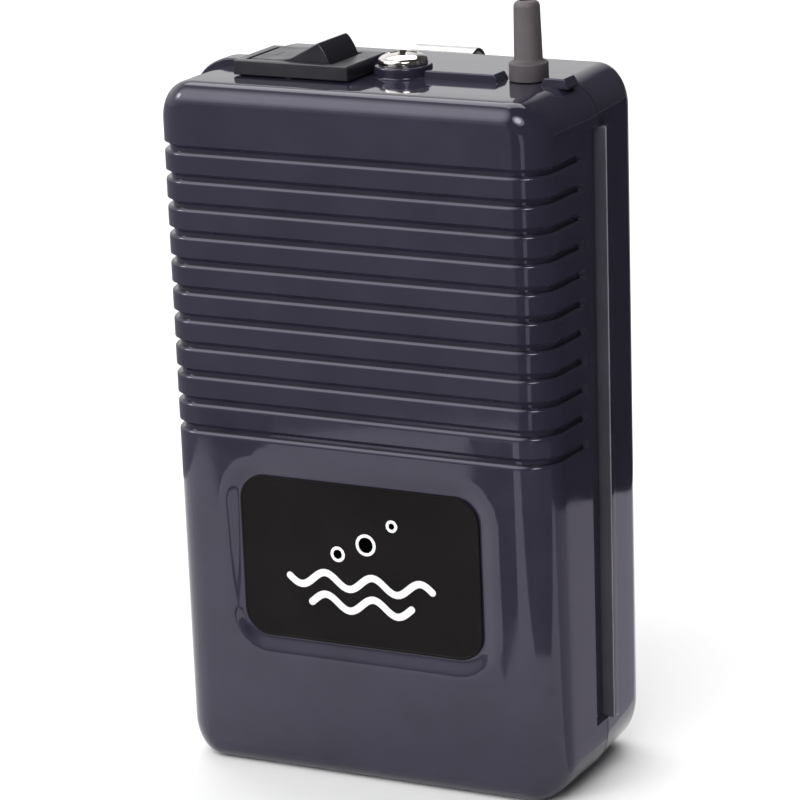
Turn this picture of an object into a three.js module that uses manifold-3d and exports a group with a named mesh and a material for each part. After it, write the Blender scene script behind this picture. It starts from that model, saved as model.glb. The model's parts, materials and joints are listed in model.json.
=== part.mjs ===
// Battery-powered aquarium air pump, in millimetres, +Z up.
// The front faces -Y and the width runs along X. Inside this file y = 0 is the front face and z = 0 the ground;
// the finished group is moved so that the middle of the overall box is at x = 0, y = 0.
import * as THREE from 'three';
import { mergeVertices } from 'three/addons/utils/BufferGeometryUtils.js';
import { ParametricGeometry } from 'three/addons/geometries/ParametricGeometry.js';
import Module from 'manifold-3d';

const wasm = await Module();
wasm.setup();

// ---------- Driving dimensions ----------
const caseWidth = 80;
const caseHeight = 130.5;
const caseDepth = 40.4; // at the ground
const backDraft = 1.9; // how much each side closes in from the seam to the back
const backLean = 4.2; // how much further back the seam and the back stand at the top
const leanFrom = 9; // the lean fades in between these two distances from the front
const leanFull = 17;
const seamDepth = 19.8; // at the ground
const wall = 2.2;
const faceCorner = 7.4; // corners seen from the front
const footCorner = 10.4; // the two lower corners at the back
const sideEdge = 6.8; // rounding between front and side
const topEdge = 4; // rounding between front and top
const gap = 0.3; // left between neighbours

const grooveCount = 11;
const groovePitch = 5.29;
const grooveTop = 119.1; // upper edge of the first groove
const grooveHeight = 1.9;
const grooveCut = 1.0;
const grooveEnd = 5.6; // distance from the seam at which a groove stops

const labelWidth = 50;
const labelHeight = 31;
const labelMiddle = 41.9;
const labelCorner = 5;
const labelCut = 0.8;

const channelWidth = 4.2; // finger channel at each side, in front of the seam
const channelCut = 1.1;
const railHeight = 1.4; // raised rail behind the seam
const railDepth = 2.2;
const channelBottom = 11.5;
const channelTop = 122.5;

const barFront = 18;
const barDepth = 4.4;
const barHeight = railHeight;
const bossX = 2.8;
const bossY = 19.6;
const bossRadius = 5.4;
const bossHeight = 2.1;
const nippleX = 27.2;
const nippleY = 22;
const switchX = -15.2;
const switchY = 17;
const bezelLength = 24.2;
const bezelWidth = 15;
const bezelHeight = 3;

const deckBottom = 71;
const deckTop = 73;
const cellRadius = 17.1;
const cellX = 17.7;
const cellY = 20;
const motorX = -31;
const motorLength = 25;
const motorY = 21.5;
const motorZ = deckTop + 12.5;
const crankThrow = 1.5;
const pumpX = 20;
const pumpY = 21.5;
const leverPivotX = 33;
const pumpScrewY = 14.5; // from the middle of the pump to each of its screws

// ---------- Materials ----------
const material = (color, roughness, metalness = 0) =>
  new THREE.MeshStandardMaterial({ color, roughness, metalness });
const caseGrey = material(0x45434f, 0.25);
const switchBlack = material(0x1d1c21, 0.35);
const nippleGrey = material(0x565356, 0.6);
const labelBlack = material(0x242022, 0.3);
const steel = material(0xc9c9cc, 0.2, 1);
const brass = material(0xc7a252, 0.3, 1);
const whitePlastic = material(0xdcdcd6, 0.5);
const rubber = material(0x242426, 0.8);
const cellSleeve = material(0x2f5f8f, 0.4);
const redWire = material(0xb02020, 0.5);
const blackWire = material(0x18181a, 0.5);
const hoseClear = material(0xd8dcda, 0.35);

// ---------- Solids ----------
// A geometry as one closed solid, its faces turned outwards.
function solid(geometry) {
  const plain = geometry.clone();
  plain.deleteAttribute('normal');
  plain.deleteAttribute('uv');
  const welded = mergeVertices(plain, 1e-4);
  const corners = welded.index.array;
  const kept = [];
  for (let i = 0; i < corners.length; i += 3) {
    const [a, b, c] = corners.slice(i, i + 3);
    if (a !== b && b !== c && a !== c) kept.push(a, b, c);
  }
  const vertProperties = welded.attributes.position.array;
  const made = new wasm.Manifold(new wasm.Mesh({ numProp: 3, vertProperties, triVerts: new Uint32Array(kept) }));
  if (made.volume() > 0) return made;
  const triVerts = new Uint32Array(kept).reverse();
  return new wasm.Manifold(new wasm.Mesh({ numProp: 3, vertProperties, triVerts }));
}

function geometryOf(manifold) {
  const mesh = manifold.getMesh();
  const geometry = new THREE.BufferGeometry();
  geometry.setAttribute('position', new THREE.BufferAttribute(mesh.vertProperties, 3));
  geometry.setIndex(new THREE.BufferAttribute(mesh.triVerts, 1));
  geometry.computeVertexNormals();
  return geometry;
}

const join = (...pieces) => pieces.reduce((all, piece) => all.add(piece));
const cut = (body, ...tools) => tools.reduce((left, tool) => left.subtract(tool), body);

// ---------- Simple shapes ----------
function block(x0, x1, y0, y1, z0, z1) {
  const geometry = new THREE.BoxGeometry(x1 - x0, y1 - y0, z1 - z0);
  return solid(geometry.translate((x0 + x1) / 2, (y0 + y1) / 2, (z0 + z1) / 2));
}

// A cylinder along 'x', 'y' or 'z', from one coordinate to the other; a and b are its place across, in x-y-z order.
function rod(along, radius, from, to, a, b, sides = 24) {
  const geometry = new THREE.CylinderGeometry(radius, radius, to - from, sides);
  const middle = (from + to) / 2;
  if (along === 'x') return solid(geometry.rotateZ(Math.PI / 2).translate(middle, a, b));
  if (along === 'y') return solid(geometry.translate(a, middle, b));
  return solid(geometry.rotateX(Math.PI / 2).translate(a, b, middle));
}

// A body turned about a vertical axis; each profile point is [radius, height].
function turned(profile, x, y, sides = 32) {
  const points = profile.map(([radius, height]) => new THREE.Vector2(radius, height));
  return solid(new THREE.LatheGeometry(points, sides).rotateX(Math.PI / 2).translate(x, y, 0));
}

// A rounded rectangle in the x-z plane, pushed from y0 to y1.
function roundedPlate(width, height, radius, x, z, y0, y1) {
  const shape = new THREE.Shape();
  const a = width / 2 - radius;
  const b = height / 2 - radius;
  shape.absarc(a, b, radius, 0, Math.PI / 2);
  shape.absarc(-a, b, radius, Math.PI / 2, Math.PI);
  shape.absarc(-a, -b, radius, Math.PI, 1.5 * Math.PI);
  shape.absarc(a, -b, radius, 1.5 * Math.PI, 2 * Math.PI);
  const geometry = new THREE.ExtrudeGeometry(shape, { depth: y1 - y0, bevelEnabled: false, curveSegments: 6 });
  return solid(geometry.rotateX(Math.PI / 2).translate(x, y1, z));
}

// An outline of [x, z] points pushed along y.
function slice(points, y0, y1) {
  const shape = new THREE.Shape(points.map(([x, z]) => new THREE.Vector2(x, z)));
  const geometry = new THREE.ExtrudeGeometry(shape, { depth: y1 - y0, bevelEnabled: false });
  return solid(geometry.rotateX(Math.PI / 2).translate(0, y1, 0));
}

// An outline of [y, z] points pushed along x.
function strip(points, x0, x1) {
  const shape = new THREE.Shape(points.map(([y, z]) => new THREE.Vector2(y, z)));
  const geometry = new THREE.ExtrudeGeometry(shape, { depth: x1 - x0, bevelEnabled: false });
  return solid(geometry.rotateX(Math.PI / 2).rotateZ(Math.PI / 2).translate(x0, 0, 0));
}

// A round section swept along a smooth curve through the points.
function tube(points, radius, steps, sides) {
  const path = new THREE.CatmullRomCurve3(points.map((point) => new THREE.Vector3(...point)));
  const section = new THREE.Shape();
  section.absarc(0, 0, radius, 0, 2 * Math.PI);
  const options = { steps, extrudePath: path, curveSegments: sides / 2, bevelEnabled: false };
  return new THREE.ExtrudeGeometry(section, options);
}

// ---------- The casing's outer shape ----------
// The lean: everything behind the front corners moves back in proportion to its height.
function leanAt(y, z) {
  const share = THREE.MathUtils.clamp((y - leanFrom) / (leanFull - leanFrom), 0, 1);
  return y + backLean * share * (z / caseHeight);
}

// The draft: behind the seam the sides close in towards the back.
function leaned(manifold) {
  const geometry = geometryOf(manifold);
  const places = geometry.attributes.position;
  for (let i = 0; i < places.count; i += 1) {
    const y = places.getY(i);
    const behind = Math.max(0, (y - seamDepth) / (caseDepth - seamDepth));
    places.setX(i, places.getX(i) * (1 - (backDraft / (caseWidth / 2)) * behind));
    places.setY(i, leanAt(y, places.getZ(i)));
  }
  return solid(geometry);
}

// The flat faces fan out from a point between the lowest groove and the label.
const fanCentre = 61.2;

// One closed rounded body, inset from the outer surface by a given thickness, before the lean.
function casingBody(inset) {
  const cornerSteps = 7;
  const edgeSteps = 6;
  const outline = [];
  for (let quarter = 0; quarter < 4; quarter += 1) {
    const sideX = quarter === 0 || quarter === 3 ? 1 : -1;
    const sideZ = quarter < 2 ? 1 : -1;
    for (let i = 0; i <= cornerSteps; i += 1) {
      const angle = ((quarter + i / cornerSteps) * Math.PI) / 2;
      const normalX = Math.cos(angle);
      const normalZ = Math.sin(angle);
      const edge = Math.hypot((sideEdge - inset) * normalX, (topEdge - inset) * normalZ);
      outline.push({ sideX, sideZ, edge, normalX, normalZ });
    }
  }
  // Rings from the middle of the front face, round the front edge, to the middle of the back face.
  const rings = [null];
  for (let i = 0; i <= edgeSteps; i += 1) rings.push({ angle: (i / edgeSteps) * (Math.PI / 2), back: false });
  for (let i = edgeSteps; i >= 0; i -= 1) rings.push({ angle: (i / edgeSteps) * (Math.PI / 2), back: true });
  rings.push(null);
  const place = (across, along, target) => {
    const ringIndex = Math.round(along * (rings.length - 1));
    const ring = rings[ringIndex];
    if (!ring) {
      target.set(0, ringIndex === 0 ? inset : caseDepth - inset, fanCentre);
      return;
    }
    const point = outline[Math.round(across * outline.length) % outline.length];
    const corner = ring.back && point.sideZ < 0 ? footCorner : faceCorner;
    const reach = corner - inset - point.edge * (1 - Math.sin(ring.angle));
    const inFromFace = inset + point.edge * (1 - Math.cos(ring.angle));
    const y = ring.back ? caseDepth - inFromFace : inFromFace;
    const x = point.sideX * (caseWidth / 2 - corner) + reach * point.normalX;
    target.set(x, y, caseHeight / 2 + point.sideZ * (caseHeight / 2 - corner) + reach * point.normalZ);
  };
  return solid(new ParametricGeometry(place, outline.length, rings.length - 1));
}

const outerBody = casingBody(0);
const innerBody = casingBody(wall);
const far = 100; // further than any face of the casing

// ---------- Front cover ----------
function grooveCutters() {
  const core = casingBody(grooveCut);
  const cutters = [];
  for (let i = 0; i < grooveCount; i += 1) {
    const top = grooveTop - i * groovePitch;
    cutters.push(cut(block(-far, far, -far, seamDepth - grooveEnd, top - grooveHeight, top), core));
  }
  return cutters;
}

function channelCutter(side) {
  const outer = side * far;
  const floor = side * (caseWidth / 2 - channelCut);
  const [x0, x1] = [Math.min(outer, floor), Math.max(outer, floor)];
  return block(x0, x1, seamDepth - channelWidth, seamDepth + gap, channelBottom, channelTop);
}

// A raised bar on top with both ends sloped.
function topBar(x0, x1) {
  const low = caseHeight - 1;
  const high = caseHeight + barHeight;
  const slope = 0.8;
  const outline = [[x0, low], [x1, low], [x1, caseHeight], [x1 - slope, high], [x0 + slope, high], [x0, caseHeight]];
  return slice(outline, barFront, barFront + barDepth);
}

// The bar at the left wraps down over the corner.
function cornerBar(x1) {
  const middleX = -(caseWidth / 2 - faceCorner);
  const middleZ = caseHeight - faceCorner;
  const outer = [];
  const inner = [];
  const steps = 7;
  const at = (radius, angle) => [middleX + radius * Math.cos(angle), middleZ + radius * Math.sin(angle)];
  for (let i = 0; i <= steps; i += 1) {
    const angle = Math.PI / 2 + (i / steps) * (Math.PI / 2);
    outer.push(at(faceCorner + barHeight, angle));
    inner.push(at(faceCorner - 1, angle));
  }
  const outline = [[x1, caseHeight + barHeight], ...outer, ...inner.reverse(), [x1, caseHeight - 1]];
  return slice(outline.reverse(), barFront, barFront + barDepth);
}

const bezelLeft = switchX - bezelLength / 2;
const bezelRight = switchX + bezelLength / 2;
const switchBodyHalf = 11;
const screwHole = 2.3;
const neckRadius = 2.6;

function frontCover() {
  const frontHalf = block(-far, far, -far, seamDepth, -far, 2 * far);
  const shell = cut(outerBody.intersect(frontHalf), innerBody, ...grooveCutters());
  const channels = [-1, 1].map((side) => channelCutter(side));
  const label = roundedPlate(labelWidth + 1, labelHeight + 1, labelCorner + 0.5, 0, labelMiddle, -1, labelCut);
  const smooth = leaned(cut(shell, ...channels, label));
  const boss = rod('z', bossRadius, caseHeight - 1, caseHeight + bossHeight, bossX, bossY, 36);
  const bars = [
    cornerBar(bezelLeft - 0.4),
    topBar(bossX + bossRadius - 1, nippleX - 4.2),
    topBar(nippleX + 4.2, caseWidth / 2 - 3),
  ];
  const raised = join(smooth, boss, ...bars);
  const open = caseHeight - 3 * wall;
  const high = caseHeight + 2 * bossHeight;
  const switchNotch = block(
    switchX - switchBodyHalf - gap, switchX + switchBodyHalf + gap, switchY - 6.4, far, open, high);
  const nippleNotch = join(
    rod('z', neckRadius + gap, open, high, nippleX, nippleY),
    block(nippleX - neckRadius - gap, nippleX + neckRadius + gap, nippleY, far, open, high));
  const hole = rod('z', screwHole, open, high, bossX, bossY);
  return cut(raised, switchNotch, nippleNotch, hole);
}

// ---------- Rear case ----------
const backAt = (z) => leanAt(caseDepth, z);
const shelfTop = caseHeight - 4.6;
const shelfBottom = shelfTop - 3;

function rearCase() {
  const behind = block(-far, far, seamDepth + gap, far, -far, 2 * far);
  const shell = cut(outerBody.intersect(behind), innerBody);
  const rails = [-1, 1].map((side) => {
    const x0 = side * (caseWidth / 2 - 1);
    const x1 = side * (caseWidth / 2 + railHeight);
    const front = seamDepth + gap;
    return block(Math.min(x0, x1), Math.max(x0, x1), front, front + railDepth, channelBottom, channelTop);
  });
  const smooth = leaned(join(shell, ...rails));
  const backInside = backAt(shelfBottom) - wall / 2;
  // The shelf under the top carries the nipple, and its open slot takes the cover screw.
  const shelf = block(-3.2, 31.5, 13, backInside, shelfBottom, shelfTop);
  const screwSlot = join(
    rod('z', screwHole, shelfBottom - 1, shelfTop + 1, bossX, bossY),
    block(bossX - screwHole, bossX + screwHole, 0, bossY, shelfBottom - 1, shelfTop + 1));
  const nippleHole = rod('z', neckRadius + 0.15, shelfBottom - 1, shelfTop + 1, nippleX, nippleY);
  // Ledges at the back hold the deck, and a rib stands between the two cells.
  const ledges = [-1, 1].map((side) => block(
    side * 24 - 6, side * 24 + 6, 38, backAt(deckBottom) - wall / 2, deckBottom - 4, deckBottom));
  const cellRib = block(-0.9, 0.9, 33.5, backAt(0) - wall / 2, wall / 2, deckBottom - 4);
  const high = caseHeight + 1;
  const switchNotch = block(
    switchX - switchBodyHalf - gap, switchX + switchBodyHalf + gap, 0, switchY + 6.7, shelfTop, high);
  const nippleNotch = rod('z', neckRadius + gap, shelfTop + 1, high, nippleX, nippleY);
  const bossNotch = rod('z', bossRadius + gap, caseHeight - 1 - gap, high, bossX, bossY, 36);
  return cut(join(smooth, shelf, ...ledges, cellRib), screwSlot, nippleHole, switchNotch, nippleNotch, bossNotch);
}

// ---------- Switch ----------
const switchBodyBottom = caseHeight - 15.5;
const terminalBottom = switchBodyBottom - 8.5;
const pinZ = caseHeight + 0.6;
const rockerX = -16.4;
const rockerHalf = 7.3; // from the middle to each raised edge
const rockerRise = 4.4; // height of each raised edge above the pin, in the middle position
const rockerTilt = THREE.MathUtils.degToRad(14); // either way from the middle
const rockerEnd = 8.6; // distance of each end from the pin
const rockerWidth = 11;
const pinRadius = 0.8;
const wellHalf = rockerEnd + 0.35;

function switchHousing() {
  const top = caseHeight + 0.2;
  const bezel = block(bezelLeft, bezelRight, switchY - bezelWidth / 2, switchY + bezelWidth / 2,
    top, caseHeight + bezelHeight);
  const body = block(switchX - switchBodyHalf, switchX + switchBodyHalf, switchY - 6, switchY + 6.4,
    switchBodyBottom, top + 1);
  const halfWidth = rockerWidth / 2 + gap;
  const well = block(rockerX - wellHalf, rockerX + wellHalf, switchY - halfWidth, switchY + halfWidth,
    pinZ - 7, caseHeight + 2 * bezelHeight);
  const pinHole = rod('y', pinRadius + 0.05, switchY - pinHalf, switchY + pinHalf, rockerX, pinZ, 16);
  return cut(join(bezel, body), well, pinHole);
}

function switchRocker() {
  const peakAngle = Math.atan2(rockerRise, rockerHalf);
  const steps = 5;
  const rightEnd = [[rockerHalf, rockerRise]];
  for (let i = 0; i <= steps; i += 1) {
    const angle = peakAngle * 0.85 - (i / steps) * (peakAngle + 0.05);
    rightEnd.push([rockerEnd * Math.cos(angle), rockerEnd * Math.sin(angle)]);
  }
  const valley = rockerRise - rockerHalf * Math.tan(rockerTilt);
  const half = [...rightEnd, [3, -4]];
  const mirrored = half.map(([x, z]) => [-x, z]).reverse();
  const outline = [...half, ...mirrored, [-1, valley + 0.3], [0, valley + 0.2], [1, valley + 0.3]];
  const turn = (points, angle) => points.map(([x, z]) => [
    rockerX + x * Math.cos(angle) - z * Math.sin(angle),
    pinZ + x * Math.sin(angle) + z * Math.cos(angle)]);
  const body = slice(turn(outline.reverse(), rockerTilt), switchY - rockerWidth / 2, switchY + rockerWidth / 2);
  const bore = rod('y', pinRadius + 0.05, switchY - rockerWidth, switchY + rockerWidth, rockerX, pinZ);
  return cut(body, bore);
}

const pinHalf = 6.2;
const switchPivotPin = () => rod('y', pinRadius, switchY - pinHalf, switchY + pinHalf, rockerX, pinZ, 16);
const switchTerminal = (x) => block(x - 0.4, x + 0.4, switchY - 2.4, switchY + 2.4, terminalBottom, switchBodyBottom);

// ---------- Cover screw ----------
const headRadius = 4.6;
const headHeight = 2.3;
const headBottom = caseHeight + bossHeight;
const nutBottom = shelfBottom - 3;
const screwEnd = nutBottom - 1;

function coverScrew() {
  const dome = [];
  const steps = 5;
  for (let i = 0; i <= steps; i += 1) {
    const angle = (i / steps) * (Math.PI / 2);
    dome.push([headRadius * Math.cos(angle), headBottom + 0.8 + (headHeight - 0.8) * Math.sin(angle)]);
  }
  dome[steps][0] = 0;
  const profile = [[0, screwEnd], [1.95, screwEnd], [1.95, headBottom], [headRadius, headBottom], ...dome];
  const body = turned(profile, bossX, bossY);
  const slotTop = headBottom + headHeight + 1;
  const slotBottom = headBottom + 1.0;
  const slots = [[2.6, 0.5], [0.5, 2.6]].map(([halfX, halfY]) =>
    block(bossX - halfX, bossX + halfX, bossY - halfY, bossY + halfY, slotBottom, slotTop));
  return cut(body, ...slots);
}

function screwNut() {
  const plate = block(bossX - 3.5, bossX + 3.5, bossY - 3.5, bossY + 3.5, nutBottom, shelfBottom - 0.1);
  return cut(plate, rod('z', 2.0, nutBottom - 1, shelfBottom + 1, bossX, bossY));
}

// ---------- Levels of the pump ----------
const chamberBottom = motorZ + 12.8;
const chamberTop = chamberBottom + 8.2;
const lidTop = chamberTop + 5;
const spigotTop = lidTop + 6.2;
const nippleFoot = spigotTop + 0.6;
const hoseFrom = lidTop + 2.6;
const hoseTo = shelfBottom - 0.3;

// ---------- Air outlet ----------
const boreRadius = 1.2;

function outletNipple() {
  const top = caseHeight + 15;
  const under = caseHeight + 0.2;
  const profile = [[boreRadius, nippleFoot], [2.3, nippleFoot], [2.3, shelfBottom], [neckRadius, shelfBottom],
    [neckRadius, under], [3.6, under], [3.6, under + 3], [3.3, under + 3.4], [2.6, under + 3.4],
    [2.42, top - 0.9], [2.15, top - 0.25], [1.7, top], [boreRadius, top], [boreRadius, nippleFoot]];
  return turned(profile, nippleX, nippleY);
}

const airHose = () => turned([[2.35, hoseFrom], [3.4, hoseFrom], [3.4, hoseTo], [2.35, hoseTo], [2.35, hoseFrom]],
  nippleX, nippleY, 24);

// ---------- Belt clip ----------
// It is drawn in the back face's own frame: y out of the back face, z up along it.
const clipWidth = 13.2;
const clipSteel = 0.8;
const clipTop = 27; // height of the bend's centre above the clip's origin
const clipBend = 2.6; // inner radius of the bend
const clipCentreY = gap + clipSteel + clipBend;
const rivetZ = -16;
const rivetX = 3.6;

function clipBasePlate() {
  const plate = block(-clipWidth / 2, clipWidth / 2, gap, gap + clipSteel, -21, clipTop - 0.8);
  const holes = [-1, 1].map((side) => rod('y', 1.3, 0, 3, side * rivetX, rivetZ, 16));
  return cut(plate, ...holes);
}

function clipSpringArm() {
  const outer = clipBend + clipSteel;
  const arc = (radius, from, to, steps) => {
    const points = [];
    for (let i = 0; i <= steps; i += 1) {
      const angle = from + ((to - from) * i) / steps;
      points.push([clipCentreY + radius * Math.cos(angle), clipTop + radius * Math.sin(angle)]);
    }
    return points;
  };
  const footZ = -44;
  const footOut = 2.4;
  const outline = [
    ...arc(outer, Math.PI, 0, 10),
    [clipCentreY + outer - 1.2, -36], [clipCentreY + outer + footOut - 1.2, footZ],
    [clipCentreY + clipBend + footOut - 1.2, footZ + 0.3], [clipCentreY + clipBend - 1.2, -36],
    ...arc(clipBend, 0, Math.PI, 10),
  ];
  return strip(outline.reverse(), -clipWidth / 2, clipWidth / 2);
}

const clipRivet = (side) => join(
  rod('y', 1.25, gap, gap + clipSteel + 0.1, side * rivetX, rivetZ, 16),
  rod('y', 2.1, gap + clipSteel, gap + clipSteel + 0.8, side * rivetX, rivetZ, 20));

// ---------- Cells, deck and contacts ----------
const cellLow = 7.5;
const cellHigh = cellLow + 60;
const nubRadius = 4.75;
const nubHeight = 1.5;

function battery(x, upright) {
  const shoulder = 0.8;
  const profile = [[0, cellLow], [cellRadius - shoulder, cellLow], [cellRadius, cellLow + shoulder],
    [cellRadius, cellHigh - shoulder], [cellRadius - shoulder, cellHigh], [0, cellHigh]];
  const can = turned(profile, x, cellY, 40);
  const nub = upright
    ? rod('z', nubRadius, cellHigh - 0.5, cellHigh + nubHeight, x, cellY)
    : rod('z', nubRadius, cellLow - nubHeight, cellLow + 0.5, x, cellY);
  return join(can, nub);
}

function springCoil(x, from, to) {
  const turns = 2.5;
  const perTurn = 10;
  const count = turns * perTurn;
  const wireThickness = 0.45;
  const wideRadius = 6;
  const narrowing = 2.4;
  const endGap = (wireThickness + 0.05) * Math.sign(to - from);
  const rise = to - from - 2 * endGap;
  const points = [];
  for (let i = 0; i <= count; i += 1) {
    const angle = (i / perTurn) * 2 * Math.PI;
    const radius = wideRadius - (narrowing * i) / count;
    points.push([x + radius * Math.cos(angle), cellY + radius * Math.sin(angle), from + endGap + (rise * i) / count]);
  }
  return solid(tube(points, wireThickness, 50, 6));
}

const bridgeBottom = 2.4;
const bridgeTop = 2.9;
const bridgeContact = () => join(
  block(-27, 27, cellY - 5, cellY + 5, bridgeBottom, bridgeTop),
  rod('z', 3.5, bridgeBottom + 0.2, cellLow - nubHeight, cellX, cellY));

const tabLeft = 34.4;
const tabRight = 27;
const tabTop = deckTop + 4.5;

function batteryDeck() {
  const plate = leaned(casingBody(wall + gap)).intersect(block(-far, far, 3.6, far, deckBottom, deckTop));
  const pocket = (x0, x1) => block(x0, x1, cellY - 5.3, cellY + 5.3, deckBottom - 1, deckBottom + 0.6);
  const postRadius = 3;
  const posts = [-1, 1].map((side) => cut(
    rod('z', postRadius, deckTop - 0.5, chamberBottom - 0.1, pumpX, pumpY + side * pumpScrewY),
    rod('z', 1.1, chamberBottom - 12, chamberBottom, pumpX, pumpY + side * pumpScrewY, 16)));
  const ears = [-1, 1].map((side) => block(leverPivotX - 3, leverPivotX + 3,
    pumpY + side * 7 - 1.2, pumpY + side * 7 + 1.2, deckTop - 0.5, motorZ + 3.5));
  const pinHole = rod('y', 1.25, pumpY - 9, pumpY + 9, leverPivotX, motorZ, 20);
  const tabSlots = [-tabLeft, tabRight].map((x) => block(x - 0.8, x + 0.8, 16, 24, deckBottom - 1, deckTop + 1));
  const cradle = cut(
    block(motorX + 3, motorX + 20, motorY - 9, motorY + 9, deckTop - 0.5, motorZ - 4),
    motorShape(motorX - 2, motorLength + 6, gap));
  return cut(join(plate, ...posts, ...ears, cradle), pinHole, ...tabSlots, pocket(-36, -8), pocket(8, 36));
}

// A flat top contact with a tab that rises through the deck at one end.
function topContact(tabX, endX) {
  const flat = block(Math.min(tabX - 0.3, endX), Math.max(tabX + 0.3, endX), cellY - 5, cellY + 5,
    deckBottom, deckBottom + 0.5);
  const tab = block(tabX - 0.3, tabX + 0.3, 17, 23, deckBottom, tabTop);
  return join(flat, tab);
}

const positiveContact = () => join(topContact(-tabLeft, -10),
  rod('z', 3.5, cellHigh + nubHeight, deckBottom + 0.3, -cellX, cellY));
const negativeContact = () => topContact(tabRight, 10);

// ---------- Motor ----------
const motorRadius = 10;
const motorFlat = 7.6;

// A round can with two flats, along x.
function motorShape(x, length, extra) {
  const can = rod('x', motorRadius + extra, x, x + length, motorY, motorZ, 40);
  return can.intersect(block(x - 1, x + length + 1, motorY - far, motorY + far,
    motorZ - motorFlat - extra, motorZ + motorFlat + extra));
}

const shaftRadius = 1;
const motorEnd = motorX + motorLength;
const motorTabY = 6; // each terminal's distance from the motor's axis

function motorCan() {
  const bearing = rod('x', 3, motorEnd - 1, motorEnd + 1.5, motorY, motorZ);
  const bore = rod('x', shaftRadius + 0.05, motorX + 2, motorEnd + 2, motorY, motorZ, 24);
  return cut(join(motorShape(motorX, motorLength, 0), bearing), bore);
}

function motorEndCap() {
  const slots = [-1, 1].map((side) => block(motorX - 3, motorX + 1,
    motorY + side * motorTabY - 0.5, motorY + side * motorTabY + 0.5, motorZ - 1.8, motorZ + 1.8));
  return cut(motorShape(motorX - 2.4, 2.4, -0.4), ...slots);
}

const motorTerminal = (side) => block(motorX - 5.2, motorX - 0.6,
  motorY + side * motorTabY - 0.25, motorY + side * motorTabY + 0.25, motorZ - 1.5, motorZ + 1.5);
const motorShaft = () => rod('x', shaftRadius, motorX + 3, 3.6, motorY, motorZ, 24);
const wheelFrom = -1.5;
const wheelTo = 2.5;
const journalRadius = 2.5;
const journalTo = 8.4;

// A disc on the shaft with a round journal set off its centre, which drives the lever's fork.
function eccentricWheel() {
  const wheel = rod('x', 6, wheelFrom, wheelTo, motorY, motorZ, 32);
  const journal = rod('x', journalRadius, wheelTo - 1, journalTo, motorY, motorZ + crankThrow, 24);
  const bore = rod('x', shaftRadius + 0.02, wheelFrom - 1, 3.7, motorY, motorZ, 24);
  return cut(join(wheel, journal), bore);
}

// A strap bent over the motor, with a foot at each side.
function motorStrap() {
  const x0 = motorX + 9;
  const x1 = motorX + 15;
  const outer = block(x0, x1, motorY - 12, motorY + 12, deckTop, motorZ + motorFlat + 1.3);
  const inner = block(x0 - 1, x1 + 1, motorY - 11, motorY + 11, deckTop - 1, motorZ + motorFlat + 0.3);
  const feet = [-1, 1].map((side) => block(
    x0, x1, motorY + side * 14 - 2.5, motorY + side * 14 + 2.5, deckTop, deckTop + 1));
  return join(cut(outer, inner), ...feet);
}

const strapScrew = (side) => rod('z', 1.9, deckTop + 1, deckTop + 2.4, motorX + 12, motorY + side * 14.4, 20);

// ---------- Lever, diaphragm and pump ----------
const leverTop = motorZ + 3;
const washerBottom = motorZ + 8.6;

function driveLever() {
  const bar = block(10.5, leverPivotX + 2.4, pumpY - 3, pumpY + 3, motorZ - 2.5, leverTop);
  // The window leaves the journal room in every position, because the lever moves on its own joint.
  const fork = cut(block(4.4, 11.5, motorY - 6.4, motorY + 6.4, motorZ - 7.8, motorZ + 7.8),
    block(4, 9.6, motorY - 4.6, motorY + 4.6, motorZ - 6, motorZ + 6));
  const boss = rod('z', 3.2, leverTop - 1, washerBottom, pumpX, pumpY);
  const made = join(fork, bar, boss);
  const pinHole = rod('y', 1.25, pumpY - 4, pumpY + 4, leverPivotX, motorZ, 20);
  const threadHole = rod('z', 1.2, leverTop, washerBottom + 1, pumpX, pumpY, 16);
  return cut(made, pinHole, threadHole);
}

const leverPivotPin = () => rod('y', 1.2, pumpY - 8.6, pumpY + 8.6, leverPivotX, motorZ, 20);
// Heights in these three profiles are above the washer's underside.
const pumpTurned = (profile, sides) => turned(
  profile.map(([radius, z]) => [radius, washerBottom + z]), pumpX, pumpY, sides);
const diaphragmWasher = () => pumpTurned([[1.3, 0], [5, 0], [5, 1], [1.3, 1], [1.3, 0]], 24);
const diaphragm = () => pumpTurned([[1.3, 1], [6.2, 1], [7.4, 2], [8.4, 2.6], [10.8, 2.6], [10.8, 4.2],
  [8.2, 4.2], [6.8, 3], [5.6, 2.3], [1.3, 2.3], [1.3, 1]], 28);
const diaphragmScrew = () => pumpTurned(
  [[0, -4.6], [1.1, -4.6], [1.1, 2.3], [2.8, 2.3], [2.8, 3.4], [1.8, 4.2], [0, 4.2]], 20);

const outletPortX = pumpX + 4.6;
const intakePortX = pumpX - 5.5;

function pumpChamber() {
  const barrel = rod('z', 11, chamberBottom, chamberTop, pumpX, pumpY, 36);
  const ears = block(pumpX - 3.4, pumpX + 3.4, pumpY - 17.6, pumpY + 17.6, chamberBottom, chamberBottom + 2.4);
  const cavity = rod('z', 8.2, chamberBottom - 1, chamberBottom + 4.4, pumpX, pumpY, 32);
  const earHoles = [-1, 1].map((side) => rod('z', 1.2, chamberBottom - 1, lidTop,
    pumpX, pumpY + side * pumpScrewY, 16));
  const ports = [outletPortX, intakePortX].map((x) => rod('z', 1.2, chamberBottom + 2, lidTop, x, pumpY, 16));
  return cut(join(barrel, ears), cavity, ...earHoles, ...ports);
}

const flap = (x, z) => rod('z', 2.4, z, z + 0.5, x, pumpY, 20);

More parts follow.
